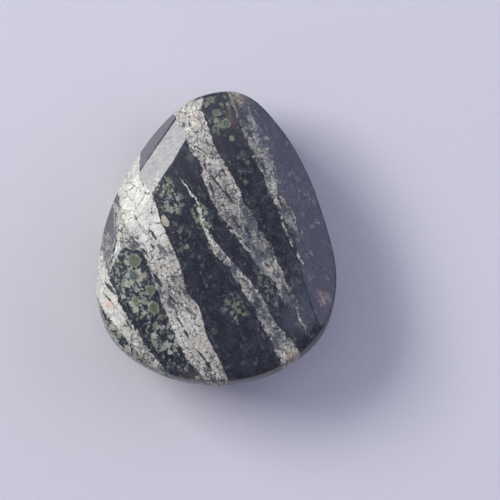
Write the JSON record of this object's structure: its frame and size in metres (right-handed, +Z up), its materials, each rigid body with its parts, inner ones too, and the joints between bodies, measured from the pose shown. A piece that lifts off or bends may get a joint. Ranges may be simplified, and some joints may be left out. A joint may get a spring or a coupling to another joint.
{
  "type": "polished stone",
  "caption": "Egg-shaped polished serpentine pebble, dark with pale veins, with ground shoulders and a flat base to rest on.",
  "frame": {"origin": "under the middle of the stone's outline, on the flat base that it rests on", "axes": "+Y towards the narrow end, along the longest extent; +Z up, along the thickness; +X to the right of +Y seen from above"},
  "size_m": [0.0342, 0.042, 0.017],
  "materials": {
    "serpentine": "polished"
  },
  "bodies": {
    "root": {"stone": "serpentine"}
  },
  "joints": []
}
